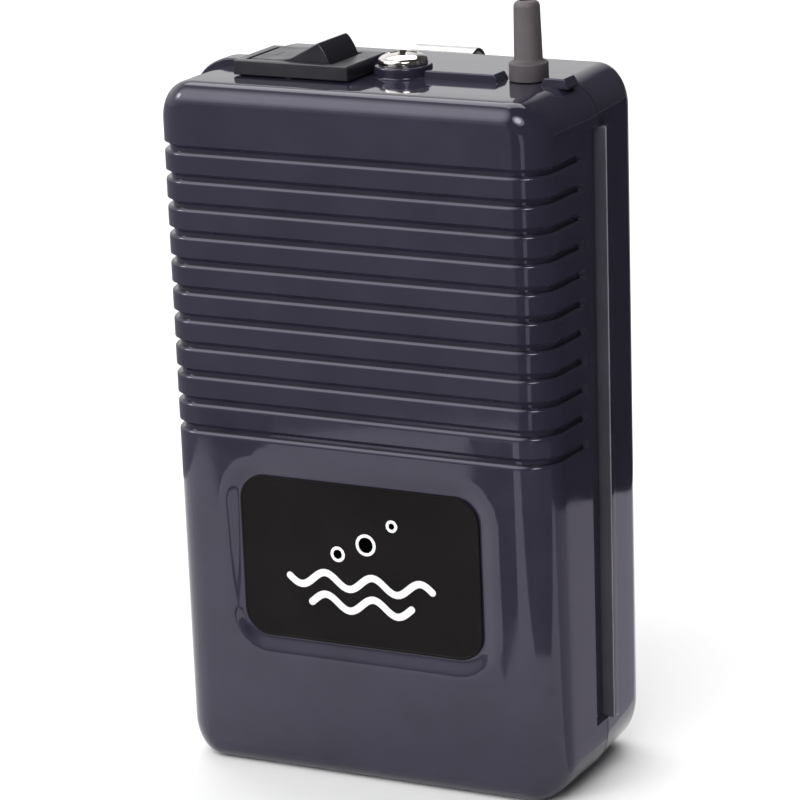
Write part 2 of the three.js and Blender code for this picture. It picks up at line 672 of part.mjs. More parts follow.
function chamberCover() {
  const lid = rod('z', 11, chamberTop, lidTop, pumpX, pumpY, 36);
  const spigot = rod('z', 2.2, lidTop - 1, spigotTop, nippleX, nippleY, 24);
  const rooms = [outletPortX, intakePortX].map((x) => rod('z', 3, chamberTop - 1, chamberTop + 2, x, pumpY));
  const outlet = rod('z', 1.1, chamberTop + 1, spigotTop + 1, nippleX, nippleY, 16);
  const intake = rod('z', 1.1, chamberTop + 1, lidTop + 1, intakePortX, pumpY, 16);
  return cut(join(lid, spigot), ...rooms, outlet, intake);
}

function pumpScrew(side) {
  const profile = [[0, -8.8], [1.05, -8.8], [1.05, 2.4], [2.1, 2.4], [2.1, 3.4], [1.4, 4], [0, 4]];
  return turned(profile.map(([radius, z]) => [radius, chamberBottom + z]), pumpX, pumpY + side * pumpScrewY, 20);
}

// ---------- Wires ----------
const wireRadius = 0.7;
const wire = (points) => solid(tube(points, wireRadius, 18, 6));
const leftTerminalX = switchX - 6;
const rightTerminalX = switchX + 6;
const wireLevel = terminalBottom - wireRadius - 0.2; // where the wires meet the switch terminals
const tabLevel = tabTop + wireRadius + 0.2;

const cellToSwitchWire = () => wire([[-tabLeft, 20, tabLevel], [-34.6, 19.6, motorZ - 4], [-36, 20.4, motorZ + 4],
  [-34.8, 18, motorZ + 11], [-28, 16.8, wireLevel - 5.5], [-22.5, 17, wireLevel - 4.5],
  [leftTerminalX, 17, wireLevel - 2.7], [leftTerminalX, 17, wireLevel]]);
const switchToMotorWire = () => wire([[rightTerminalX, 17, wireLevel], [rightTerminalX, 16.8, wireLevel - 3],
  [-13, 14, wireLevel - 6], [-25, 10, motorZ + 12.6], [-34.4, 9.4, motorZ + 8], [-36.4, 11.4, motorZ + 3.6],
  [-36.6, 15.5, motorZ + 2.3]]);
const motorToCellWire = () => wire([[-36.6, 27.5, motorZ - 2.4], [-36, 31, deckTop + 7.5], [-30, 36, deckTop + 4.9],
  [-19, 36.9, deckTop + 4.3], [-6, 35.6, deckTop + 3.1], [8, 31.5, deckTop + 2.9], [20, 29.6, deckTop + 3.1],
  [25.4, 27.6, deckTop + 4.9], [tabRight, 24.6, deckTop + 6.9], [tabRight, 20.8, deckTop + 6.1]]);

// ---------- Assembly ----------
const group = new THREE.Group();

function add(name, manifold, look, parent = group) {
  const mesh = new THREE.Mesh(geometryOf(manifold), look);
  mesh.name = name;
  parent.add(mesh);
}

add('front_cover', frontCover(), caseGrey);
add('label_plate', roundedPlate(labelWidth, labelHeight, labelCorner, 0, labelMiddle, gap, labelCut), labelBlack);
add('cover_screw', coverScrew(), steel);
add('screw_nut', screwNut(), steel);
add('rear_case', rearCase(), caseGrey);
add('switch_housing', switchHousing(), switchBlack);
add('switch_rocker', switchRocker(), switchBlack);
add('switch_pivot_pin', switchPivotPin(), steel);
add('switch_terminal_left', switchTerminal(leftTerminalX), brass);
add('switch_terminal_right', switchTerminal(rightTerminalX), brass);
add('outlet_nipple', outletNipple(), nippleGrey);
add('air_hose', airHose(), hoseClear);

const clip = new THREE.Group();
const clipHeight = 99.9;
const clipX = -3.5;
clip.position.set(clipX, backAt(clipHeight), clipHeight);
clip.rotation.x = -Math.atan(backLean / caseHeight);
group.add(clip);
add('clip_base_plate', clipBasePlate(), steel, clip);
add('clip_spring_arm', clipSpringArm(), steel, clip);
add('clip_rivet_left', clipRivet(-1), steel, clip);
add('clip_rivet_right', clipRivet(1), steel, clip);

add('battery_left', battery(-cellX, true), cellSleeve);
add('battery_right', battery(cellX, false), cellSleeve);
add('battery_deck', batteryDeck(), whitePlastic);
add('bridge_contact', bridgeContact(), brass);
add('lower_contact_spring', springCoil(-cellX, bridgeTop, cellLow), steel);
add('upper_contact_spring', springCoil(cellX, deckBottom, cellHigh), steel);
add('positive_contact', positiveContact(), brass);
add('negative_contact', negativeContact(), brass);

add('motor_can', motorCan(), steel);
add('motor_end_cap', motorEndCap(), whitePlastic);
add('motor_terminal_front', motorTerminal(-1), brass);
add('motor_terminal_rear', motorTerminal(1), brass);
add('motor_strap', motorStrap(), steel);
add('strap_screw_front', strapScrew(-1), steel);
add('strap_screw_rear', strapScrew(1), steel);
add('motor_shaft', motorShaft(), steel);
add('eccentric_wheel', eccentricWheel(), whitePlastic);

add('drive_lever', driveLever(), whitePlastic);
add('lever_pivot_pin', leverPivotPin(), steel);
add('diaphragm_washer', diaphragmWasher(), steel);
add('diaphragm_screw', diaphragmScrew(), steel);
add('diaphragm', diaphragm(), rubber);
add('pump_chamber', pumpChamber(), whitePlastic);
add('outlet_valve_flap', flap(outletPortX, chamberTop), rubber);
add('intake_valve_flap', flap(intakePortX, chamberTop), rubber);
add('chamber_cover', chamberCover(), whitePlastic);
add('pump_screw_front', pumpScrew(-1), steel);
add('pump_screw_rear', pumpScrew(1), steel);

add('wire_cell_to_switch', cellToSwitchWire(), redWire);
add('wire_switch_to_motor', switchToMotorWire(), redWire);
add('wire_motor_to_cell', motorToCellWire(), blackWire);

// The origin goes to the middle of the overall box.
group.updateMatrixWorld(true);
const box = new THREE.Box3().setFromObject(group, true);
group.position.y = -(box.min.y + box.max.y) / 2;

export default group;
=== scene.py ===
import json
import math

import bmesh
import bpy
from mathutils import Matrix, Vector


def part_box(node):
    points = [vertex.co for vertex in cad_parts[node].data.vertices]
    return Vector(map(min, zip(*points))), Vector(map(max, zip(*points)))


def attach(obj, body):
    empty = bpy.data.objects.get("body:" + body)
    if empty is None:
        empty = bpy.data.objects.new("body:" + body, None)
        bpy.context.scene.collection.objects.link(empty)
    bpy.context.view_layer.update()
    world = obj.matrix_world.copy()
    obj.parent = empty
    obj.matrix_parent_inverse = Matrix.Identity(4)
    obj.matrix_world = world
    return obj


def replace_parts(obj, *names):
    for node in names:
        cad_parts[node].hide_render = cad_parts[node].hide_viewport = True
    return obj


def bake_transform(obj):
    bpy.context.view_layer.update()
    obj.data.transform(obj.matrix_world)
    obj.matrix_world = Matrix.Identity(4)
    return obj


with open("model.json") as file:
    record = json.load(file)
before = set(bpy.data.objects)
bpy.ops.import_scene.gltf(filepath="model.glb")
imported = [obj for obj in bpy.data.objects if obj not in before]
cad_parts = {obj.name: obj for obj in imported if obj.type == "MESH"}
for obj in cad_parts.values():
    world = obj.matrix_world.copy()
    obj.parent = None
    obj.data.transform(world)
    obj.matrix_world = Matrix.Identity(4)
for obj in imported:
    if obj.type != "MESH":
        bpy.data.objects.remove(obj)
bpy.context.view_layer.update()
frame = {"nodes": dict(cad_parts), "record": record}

mm = 0.001

# ---------- Sizes from the frame ----------
cover_low, cover_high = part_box("front_cover")
case_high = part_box("rear_case")[1]
label_low, label_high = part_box("label_plate")
housing_low, housing_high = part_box("switch_housing")
nipple_low, nipple_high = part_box("outlet_nipple")
screw_low, screw_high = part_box("cover_screw")
clip_low, clip_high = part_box("clip_spring_arm")

front = cover_low.y
half_width = cover_high.x
height = case_high.z
gap = 0.3 * mm

# ---------- Sizes the boxes don't tell ----------
depth = 40.4 * mm
seam = 19.8 * mm
wall = 2.2 * mm
top_edge = 4 * mm
side_edge = 6.8 * mm
corner_steps = 14
face_corner = 7.4 * mm
foot_corner = 10.4 * mm
back_draft = 1.9 * mm
lean_from = 9 * mm
lean_full = 17 * mm
back_lean = (case_high.y - front - depth) * height / (height - top_edge)

groove_count = 11
groove_pitch = 5.29 * mm
groove_top = 119.1 * mm
groove_cut = 1.0 * mm
groove_end = seam - 5.6 * mm
# The groove's section: [distance below its top in mm, share of its depth].
groove_section = [
    (-0.15, 0), (0, 0), (0.03, 0.4), (0.85, 1), (1.46, 1),
    (1.52, 0.36), (1.72, 0.15), (1.88, 0.04), (2.08, 0), (2.3, 0),
]

label_x = (label_low.x + label_high.x) / 2
label_z = (label_low.z + label_high.z) / 2
recess_half_width = (label_high.x - label_low.x) / 2 + 0.5 * mm
recess_half_height = (label_high.z - label_low.z) / 2 + 0.5 * mm
recess_corner = 5.5 * mm
recess_cut = label_high.y - front
recess_slope = 3.2 * mm

channel_from = seam - 4.2 * mm
channel_cut = 1.1 * mm
channel_low = 11.5 * mm
channel_high = 122.5 * mm
rail_height = 1.4 * mm
rail_depth = 2.2 * mm

bar_front = 18 * mm
bar_depth = 4.4 * mm
boss_radius = 5.4 * mm
boss_height = 2.1 * mm
screw_x = (screw_low.x + screw_high.x) / 2
screw_y = (screw_low.y + screw_high.y) / 2
nipple_x = (nipple_low.x + nipple_high.x) / 2
nipple_y = (nipple_low.y + nipple_high.y) / 2
neck_radius = 2.6 * mm
nipple_clearance = 4.2 * mm
switch_x = (housing_low.x + housing_high.x) / 2
switch_y = (housing_low.y + housing_high.y) / 2
switch_body_half = 11 * mm


# ---------- Camera ----------
def add_camera():
    """The photograph's view: a long lens from the front right and a little above, rolled slightly."""
    azimuth = math.radians(29.19)
    elevation = math.radians(15.28)
    roll = math.radians(-2.43)
    distance = 803 * mm
    aim = Vector((8.0 * mm, -22.0 * mm, 73.7 * mm))
    back = Vector((
        math.sin(azimuth) * math.cos(elevation),
        -math.cos(azimuth) * math.cos(elevation),
        math.sin(elevation),
    ))
    data = bpy.data.cameras.new("camera")
    data.lens = 198.8
    data.sensor_width = 36
    data.clip_end = 20
    camera = bpy.data.objects.new("camera", data)
    level = back.to_track_quat("Z", "Y").to_matrix().to_4x4()
    camera.matrix_world = Matrix.Translation(aim + back * distance) @ level @ Matrix.Rotation(roll, 4, "Z")
    bpy.context.scene.collection.objects.link(camera)
    bpy.context.scene.camera = camera


# ---------- Material helpers ----------
def start_material(name):
    """A new material with its node tree and its shader."""
    material = bpy.data.materials.new(name)
    material.use_nodes = True
    tree = material.node_tree
    return material, tree, tree.nodes["Principled BSDF"]


def noise(tree, scale, detail=3, stretch=(1, 1, 1)):
    """Noise over the object's own coordinates; scale is in features per metre."""
    place = tree.nodes.new("ShaderNodeTexCoord")
    mapping = tree.nodes.new("ShaderNodeMapping")
    mapping.inputs["Scale"].default_value = stretch
    texture = tree.nodes.new("ShaderNodeTexNoise")
    texture.inputs["Scale"].default_value = scale
    texture.inputs["Detail"].default_value = detail
    tree.links.new(place.outputs["Object"], mapping.inputs["Vector"])
    tree.links.new(mapping.outputs["Vector"], texture.inputs["Vector"])
    return texture.outputs["Fac"]


def spread(tree, value, low, high):
    """Maps the middle of a noise to the range from low to high."""
    node = tree.nodes.new("ShaderNodeMapRange")
    node.inputs["From Min"].default_value = 0.3
    node.inputs["From Max"].default_value = 0.7
    node.inputs["To Min"].default_value = low
    node.inputs["To Max"].default_value = high
    tree.links.new(value, node.inputs["Value"])
    return node.outputs["Result"]


def colour_between(tree, value, first, second, target):
    """Feeds the target socket a colour that a noise value mixes from two."""
    mix = tree.nodes.new("ShaderNodeMix")
    mix.data_type = "RGBA"
    mix.inputs["A"].default_value = (*first, 1)
    mix.inputs["B"].default_value = (*second, 1)
    tree.links.new(spread(tree, value, 0, 1), mix.inputs["Factor"])
    tree.links.new(mix.outputs["Result"], target)


def bump(tree, shader, layers):
    """Stacks noise layers, each [noise output, height in metres], as bumps on the shader."""
    below = None
    for value, rise in layers:
        node = tree.nodes.new("ShaderNodeBump")
        node.inputs["Strength"].default_value = 1
        node.inputs["Distance"].default_value = rise
        tree.links.new(value, node.inputs["Height"])
        if below:
            tree.links.new(below, node.inputs["Normal"])
        below = node.outputs["Normal"]
    tree.links.new(below, shader.inputs["Normal"])


def plastic(name, dark, light, gloss, peel=0.003 * mm, wave=0.0, shine=0.5, sheen=(1, 1, 1)):
    """Moulded plastic: gloss is [smoothest, roughest]; peel is its fine grain and wave its sink marks."""
    material, tree, shader = start_material(name)
    shader.inputs["Specular IOR Level"].default_value = shine
    shader.inputs["Specular Tint"].default_value = (*sheen, 1)
    colour_between(tree, noise(tree, 90), dark, light, shader.inputs["Base Color"])
    tree.links.new(spread(tree, noise(tree, 240, 6), *gloss), shader.inputs["Roughness"])
    layers = [(noise(tree, 1500, 2), peel)]
    if wave:
        layers.append((noise(tree, 38, 1), wave))
    bump(tree, shader, layers)
    return material


def metal(name, dark, light, gloss, stretch=(1, 1, 1), scratch=0.002 * mm):
    """Bare metal; stretch gives the direction of its fine lines."""
    material, tree, shader = start_material(name)
    shader.inputs["Metallic"].default_value = 1
    colour_between(tree, noise(tree, 300), dark, light, shader.inputs["Base Color"])
    tree.links.new(spread(tree, noise(tree, 900, 5, stretch), *gloss), shader.inputs["Roughness"])
    bump(tree, shader, [(noise(tree, 2600, 3, stretch), scratch)])
    return material


# ---------- Materials ----------
def make_materials():
    """One material for each slot of the record, with the finish of the real thing."""
    return {
        "case_plastic": plastic(
            "case_plastic", (0.0205, 0.0187, 0.0310), (0.0260, 0.0236, 0.0392), (0.035, 0.085),
            peel=0.0009 * mm, wave=0.035 * mm, sheen=(0.88, 0.86, 1.0)),
        "switch_plastic": plastic(
            "switch_plastic", (0.0105, 0.0095, 0.0145), (0.0165, 0.0150, 0.0220), (0.26, 0.40),
            peel=0.006 * mm),
        "nipple_plastic": plastic(
            "nipple_plastic", (0.068, 0.056, 0.062), (0.088, 0.074, 0.081), (0.46, 0.62),
            peel=0.008 * mm),
        "label_plate": plastic(
            "label_plate", (0.0055, 0.0042, 0.0045), (0.0085, 0.0068, 0.0072), (0.30, 0.42),
            peel=0.003 * mm, shine=0.07),
        "white_plastic": plastic(
            "white_plastic", (0.62, 0.62, 0.57), (0.72, 0.72, 0.67), (0.40, 0.55), peel=0.005 * mm),
        "black_rubber": plastic(
            "black_rubber", (0.018, 0.018, 0.019), (0.030, 0.030, 0.031), (0.62, 0.80), peel=0.012 * mm),
        "cell_sleeve": plastic(
            "cell_sleeve", (0.020, 0.060, 0.150), (0.028, 0.078, 0.185), (0.16, 0.26), peel=0.002 * mm),
        "red_wire": plastic("red_wire", (0.42, 0.015, 0.012), (0.52, 0.024, 0.02), (0.35, 0.5)),
        "black_wire": plastic("black_wire", (0.015, 0.015, 0.016), (0.025, 0.025, 0.026), (0.35, 0.5)),
        "clear_hose": plastic("clear_hose", (0.60, 0.64, 0.62), (0.70, 0.73, 0.71), (0.18, 0.28)),
        "bright_screw": metal(
            "bright_screw", (0.66, 0.62, 0.59), (0.80, 0.77, 0.74), (0.05, 0.14), scratch=0.003 * mm),
        "plain_steel": metal(
            "plain_steel", (0.46, 0.46, 0.47), (0.60, 0.60, 0.60), (0.22, 0.42), stretch=(1, 8, 8)),
        "clip_steel": metal(
            "clip_steel", (0.44, 0.43, 0.43), (0.56, 0.55, 0.54), (0.20, 0.36), stretch=(8, 8, 1)),
        "contact_brass": metal(
            "contact_brass", (0.60, 0.42, 0.17), (0.74, 0.55, 0.26), (0.20, 0.40)),
    }


def make_prints_and_painted_light():
    """Prints that the record has no slot for, and painted light on the side rails: a lighter front face and
    a painted highlight on the outer edge.
    """
    return {
        "print_white": plastic("print_white", (0.72, 0.72, 0.72), (0.84, 0.84, 0.84), (0.35, 0.5)),
        "print_grey": plastic("print_grey", (0.09, 0.085, 0.085), (0.13, 0.125, 0.125), (0.4, 0.55)),
        # Painted light: the rail's front face is the case plastic made lighter, as if lit from the front.
        "painted_lit_rail_face": plastic(
            "painted_lit_rail_face", (0.052, 0.049, 0.064), (0.066, 0.062, 0.080), (0.38, 0.52), peel=0.006 * mm),
        # Painted highlight: the rail's rounded outer edge is the case plastic made bright.
        "painted_highlight_rail_edge": plastic(
            "painted_highlight_rail_edge", (0.20, 0.195, 0.225), (0.27, 0.265, 0.30), (0.22, 0.34), peel=0.004 * mm),
    }


# ---------- Mesh helpers ----------
def smooth(mesh, degrees=35):
    """Smooth shading, with edges sharper than the angle kept sharp."""
    for face in mesh.polygons:
        face.use_smooth = True
    mesh.set_sharp_from_angle(angle=math.radians(degrees))


def make_object(name, points, faces, slot, body, degrees=35):
    """A piece with its material and slot, riding on a body. With no body it is left unattached."""
    mesh = bpy.data.meshes.new(name)
    mesh.from_pydata([tuple(p) for p in points], [], faces)
    shape = bmesh.new()
    shape.from_mesh(mesh)
    bmesh.ops.remove_doubles(shape, verts=shape.verts, dist=0.002 * mm)
    bmesh.ops.recalc_face_normals(shape, faces=shape.faces)
    shape.to_mesh(mesh)
    shape.free()
    smooth(mesh, degrees)
    piece = bpy.data.objects.new(name, mesh)
    bpy.context.scene.collection.objects.link(piece)
    mesh.materials.append(materials[slot])
    # The printed signs have no slot of their own in the record, so they count as the label's.
    if body:
        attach(piece, body)
    return piece


def apply_modifiers(piece, degrees=35):
    """Bakes the piece's modifiers into its mesh."""
    bpy.context.view_layer.update()
    ready = piece.evaluated_get(bpy.context.evaluated_depsgraph_get())
    mesh = bpy.data.meshes.new_from_object(ready)
    piece.modifiers.clear()
    piece.data = mesh
    smooth(mesh, degrees)


def soften(piece, width, segments=3, degrees=32):
    """Rounds the piece's edges."""
    bevel = piece.modifiers.new("bevel", "BEVEL")
    bevel.width = width
    bevel.segments = segments
    bevel.limit_method = "ANGLE"
    bevel.angle_limit = math.radians(degrees)
    apply_modifiers(piece, 40)
    even = piece.modifiers.new("normals", "WEIGHTED_NORMAL")
    even.keep_sharp = True
    apply_modifiers(piece, 40)


def cut_away(piece, cutters):
    """Cuts the cutters out of the piece and removes them."""
    for cutter in cutters:
        boolean = piece.modifiers.new("cut", "BOOLEAN")
        boolean.operation = "DIFFERENCE"
        boolean.solver = "EXACT"
        boolean.object = cutter
    apply_modifiers(piece)
    for cutter in cutters:
        bpy.data.objects.remove(cutter)


def cutter_object(points, faces):
    """A plain body to cut away with; cut_away removes it."""
    mesh = bpy.data.meshes.new("cutter")
    mesh.from_pydata([tuple(p) for p in points], [], faces)
    mesh.update()
    cutter = bpy.data.objects.new("cutter", mesh)
    bpy.context.scene.collection.objects.link(cutter)
    return cutter


def loop_faces(count, first, second):
    """Quads between two closed loops of points, given the index at which each starts."""
    return [
        (first + i, first + (i + 1) % count, second + (i + 1) % count, second + i)
        for i in range(count)
    ]


def stack_loops(loops):
    """Points and faces of a closed body made of loops, capped at both ends."""
    count = len(loops[0])
    points = [p for loop in loops for p in loop]
    faces = []
    for level in range(len(loops) - 1):
        faces += loop_faces(count, level * count, (level + 1) * count)
    faces.append(tuple(range(count))[::-1])
    last = (len(loops) - 1) * count
    faces.append(tuple(range(last, last + count)))
    return points, faces


def rectangle(x0, x1, y0, y1, z):
    """A level loop of four corners."""
    return [Vector((x0, y0, z)), Vector((x1, y0, z)), Vector((x1, y1, z)), Vector((x0, y1, z))]


def block(x0, x1, y0, y1, z0, z1):
    """Points and faces of a box."""
    return stack_loops([rectangle(x0, x1, y0, y1, z0), rectangle(x0, x1, y0, y1, z1)])


def pushed(outline, y0, y1):
    """An outline of [x, z] points pushed along Y."""
    return stack_loops([[Vector((x, y, z)) for x, z in outline] for y in (y0, y1)])


def turned(profile, x, y, sides=64):
    """A body turned about a vertical axis from a closed profile of [radius, z] points."""
    points = []
    faces = []
    for i in range(sides):
        angle = 2 * math.pi * i / sides
        for radius, z in profile:
            points.append(Vector((x + radius * math.cos(angle), y + radius * math.sin(angle), z)))
    count = len(profile)
    for i in range(sides):
        j = (i + 1) % sides
        for k in range(count):
            after = (k + 1) % count
            faces.append((i * count + k, j * count + k, j * count + after, i * count + after))
    return points, faces


def arc(centre_a, centre_b, radius, start, end, steps):
    """Points of an arc in any plane, with both ends; the angles are in degrees."""
    result = []
    for i in range(steps + 1):
        angle = math.radians(start + (end - start) * i / steps)
        result.append((centre_a + radius * math.cos(angle), centre_b + radius * math.sin(angle)))
    return result


# ---------- The casing's surface ----------
def clamp(value, low=0.0, high=1.0):
    return min(max(value, low), high)


def place(x, deep, z):
    """A point of the casing with its lean and draft."""
    lean = back_lean * clamp((deep - lean_from) / (lean_full - lean_from)) * z / height
    behind = max(0.0, (deep - seam) / (depth - seam))
    return Vector((x * (1 - back_draft / half_width * behind), front + deep + lean, z))


def foot_at(deep):
    """The lower corners' radius, which grows towards the back."""
    share = clamp((deep - side_edge) / (depth - 2 * side_edge))
    return face_corner + (foot_corner - face_corner) * share


def casing_outline(xs, zs):
    """Points round the casing seen from the front: [x side, z side, normal x, normal z, level]."""
    def corner(side_x, side_z, start):
        angles = [math.radians(start + 90 * i / corner_steps) for i in range(1, corner_steps)]
        return [(side_x, side_z, math.cos(a), math.sin(a), None) for a in angles]
    return (
        [(1, 0, 1.0, 0.0, z) for z in zs] + corner(1, 1, 0)
        + [(0, 1, 0.0, 1.0, x) for x in reversed(xs)] + corner(-1, 1, 90)
        + [(-1, 0, -1.0, 0.0, z) for z in reversed(zs)] + corner(-1, -1, 180)
        + [(0, -1, 0.0, -1.0, x) for x in xs] + corner(1, -1, 270)
    )


def on_ring(point, ring, inset):
    """The place of an outline point on a ring: [part, angle or depth], at a distance below the surface."""
    side_x, side_z, normal_x, normal_z, level = point
    part, value = ring
    edge = math.hypot((side_edge - inset) * normal_x, (top_edge - inset) * normal_z)
    inward = 0.0
    deep = value
    if part != "side":
        inward = edge * (1 - math.sin(value))
        deep = inset + edge * (1 - math.cos(value))
    if part == "back":
        deep = depth - deep
    foot = foot_at(deep)
    if level is None:
        corner = foot if side_z < 0 else face_corner
        reach = corner - inset - inward
        x = side_x * (half_width - corner) + reach * normal_x
        z = (height - corner if side_z > 0 else corner) + reach * normal_z
    elif side_z == 0:
        x = side_x * (half_width - inset - inward)
        z = level
        bend = 20 * mm
        if level < bend:
            z = foot + (level - face_corner) * (bend - foot) / (bend - face_corner)
    else:
        z = height - inset - inward if side_z > 0 else inset + inward
        x = level * (1 if side_z > 0 else (half_width - foot) / (half_width - face_corner))
    return x, deep, z


def groove_share(z):
    """How deep the grooves are at this height, from 0 to 1."""
    for i in range(groove_count):
        below = (groove_top - i * groove_pitch - z) / mm
        if groove_section[0][0] <= below <= groove_section[-1][0]:
            for (a, depth_a), (b, depth_b) in zip(groove_section, groove_section[1:]):
                if a <= below <= b:
                    return depth_a + (depth_b - depth_a) * (below - a) / (b - a)
    return 0.0


def recess_depth(x, z):
    """The shallow recess round the label, with its soft slope."""
    across = abs(x - label_x) - (recess_half_width - recess_corner)
    along = abs(z - label_z) - (recess_half_height - recess_corner)
    outside = math.hypot(max(across, 0), max(along, 0)) + min(max(across, along), 0) - recess_corner
    share = clamp(1 - outside / recess_slope)
    steep = 0.35
    soft_step = share * share * (3 - 2 * share)
    return recess_cut * (steep * share ** 4 + (1 - steep) * soft_step)


def cut_on_side(deep, z):
    """The grooves and the finger channel on the casing's sides."""
    slope = 0.3 * mm
    fade = clamp((groove_end - deep) / (0.35 * mm) + 0.5)
    into = clamp((deep - channel_from) / slope + 0.3)
    ends = clamp((z - channel_low) / slope) * clamp((channel_high - z) / slope)
    return max(groove_cut * groove_share(z) * fade, channel_cut * into * ends)


def levels(*stretches):
    """Sorted levels from [from, to, step] stretches."""
    found = set()
    for low, high, step in stretches:
        count = max(1, round((high - low) / step))
        found.update(round(low + (high - low) * i / count, 7) for i in range(count + 1))
    return sorted(found)


def thin_out(values, least):
    """Drops each value that is closer than the least distance to the one before it."""
    kept = [values[0]]
    for value in values[1:]:
        if value - kept[-1] > least:
            kept.append(value)
    return kept


def face_grid(points, faces, xs, zs, ring, start, make_point):
    """Fills the flat face inside a ring of points with a grid over xs and zs."""
    first = len(points)
    for z in zs:
        for x in xs:
            points.append(make_point(x, z))
    wide = len(xs)
    tall = len(zs)
    for row in range(tall - 1):
        for column in range(wide - 1):
            a = first + row * wide + column
            faces.append((a, a + 1, a + wide + 1, a + wide))
    border = []
    for point in ring:
        side_x, side_z, _, _, level = point
        column = wide - 1 if side_x > 0 else 0
        row = tall - 1 if side_z > 0 else 0
        if level is not None and side_z == 0:
            row = zs.index(level)
        if level is not None and side_z != 0:
            column = xs.index(level)
        border.append(first + row * wide + column)
    count = len(ring)
    for i in range(count):
        j = (i + 1) % count
        corners = [start + i, start + j, border[j], border[i]]
        faces.append(tuple(dict.fromkeys(corners)))


def cover_shell():
    """The front cover: grooved front, label recess, finger channels and a hollow inside."""
    inner_x = half_width - face_corner
    fine = 0.75 * mm
    coarse = 3 * mm
    xs = levels((-inner_x, inner_x, fine))
    around_label = recess_half_height + recess_slope
    zs = levels(
        (face_corner, height - face_corner, coarse),
        (label_z - around_label, label_z + around_label, fine),
        (channel_low - 0.3 * mm, channel_low + 0.6 * mm, 0.3 * mm),
        (channel_high - 0.6 * mm, channel_high + 0.3 * mm, 0.3 * mm),
    )
    groove_levels = [
        groove_top - i * groove_pitch - below * mm
        for i in range(groove_count) for below, _ in groove_section
    ]
    zs = [z for z in zs if groove_share(z) == 0] + groove_levels
    zs = thin_out(sorted(zs), 0.01 * mm)
    outline = casing_outline(xs, zs)
    count = len(outline)
    points = []
    faces = []
    rings = [("front", math.radians(90 * i / corner_steps)) for i in range(corner_steps + 1)]
    groove_fade = [groove_end + offset * mm for offset in (-0.8, -0.2, 0, 0.2, 0.6)]
    channel_edge = [channel_from + offset * mm for offset in (-0.3, -0.1, 0, 0.1, 0.21, 0.5)]
    side_levels = [9 * mm, 11 * mm] + groove_fade + channel_edge + [17.5 * mm, seam]
    rings += [("side", deep) for deep in side_levels]
    for ring in rings:
        for point in outline:
            x, deep, z = on_ring(point, ring, 0)
            inset = 0.0
            if point[1] == 0:
                inset = cut_on_side(deep, z)
            points.append(place(*on_ring(point, ring, inset)))
    inner_steps = 5
    inner_rings = [("side", seam)]
    inner_rings += [("front", math.radians(90 * i / inner_steps)) for i in range(inner_steps, -1, -1)]
    for ring in inner_rings:
        points += [place(*on_ring(point, ring, wall)) for point in outline]
    for level in range(len(rings) + len(inner_rings) - 1):
        faces += loop_faces(count, level * count, (level + 1) * count)

    def on_face(x, z):
        return place(x, max(groove_cut * groove_share(z), recess_depth(x, z)), z)

    last = len(points) - count
    face_grid(points, faces, xs, zs, outline, 0, on_face)
    faces.append(tuple(range(last, last + count)))
    shell = make_object("cover_shell", points, faces, "case_plastic", "cover")
    notch_low = height - 3 * wall
    notch_high = height + 5 * mm
    notch_half = switch_body_half + gap
    switch_notch = cutter_object(*block(
        switch_x - notch_half, switch_x + notch_half, front + 10.6 * mm, front + depth,
        notch_low, notch_high))
    neck_half = neck_radius + gap
    neck = arc(0, 0, neck_half, 180, 360, 16) + [(neck_half, depth), (-neck_half, depth)]
    nipple_notch = cutter_object(*stack_loops([
        [Vector((nipple_x + a, nipple_y + b, z)) for a, b in neck] for z in (notch_low, notch_high)]))
    cut_away(shell, [switch_notch, nipple_notch])
    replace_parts(shell, "front_cover")
    return shell


def rear_shell():
    """The rear case: a plain tub with rounded back edges."""
    inner_x = half_width - face_corner
    coarse = 8 * mm
    xs = levels((-inner_x, inner_x, coarse))
    zs = levels((face_corner, height - face_corner, coarse), (face_corner, 20 * mm, coarse / 2))
    outline = casing_outline(xs, zs)
    count = len(outline)
    start = seam + gap
    side = depth - side_edge
    rings = [("side", start), ("side", start + 0.3 * mm)]
    rings += [("side", start + (side - start) * share) for share in (0.2, 0.4, 0.6, 0.8)]
    back_steps = 12
    rings += [("back", math.radians(90 - 90 * i / back_steps)) for i in range(back_steps + 1)]
    inner_steps = 5
    inner_rings = [("back", math.radians(90 * i / inner_steps)) for i in range(inner_steps + 1)]
    inner_rings.append(("side", start))
    points = [place(*on_ring(point, ring, 0)) for ring in rings for point in outline]
    faces = []
    for level in range(len(rings) - 1):
        faces += loop_faces(count, level * count, (level + 1) * count)
    back_start = (len(rings) - 1) * count
    inner_start = len(points)
    points += [place(*on_ring(point, ring, wall)) for ring in inner_rings for point in outline]
    for level in range(len(inner_rings) - 1):
        first = inner_start + level * count
        faces += loop_faces(count, first, first + count)
    faces += loop_faces(count, 0, len(points) - count)
    faces.append(tuple(range(inner_start, inner_start + count)))
    face_grid(points, faces, xs, zs, outline, back_start, lambda x, z: place(x, depth, z))
    shell = make_object("rear_shell", points, faces, "case_plastic", "case", 50)
    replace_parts(shell, "rear_case")
    return shell


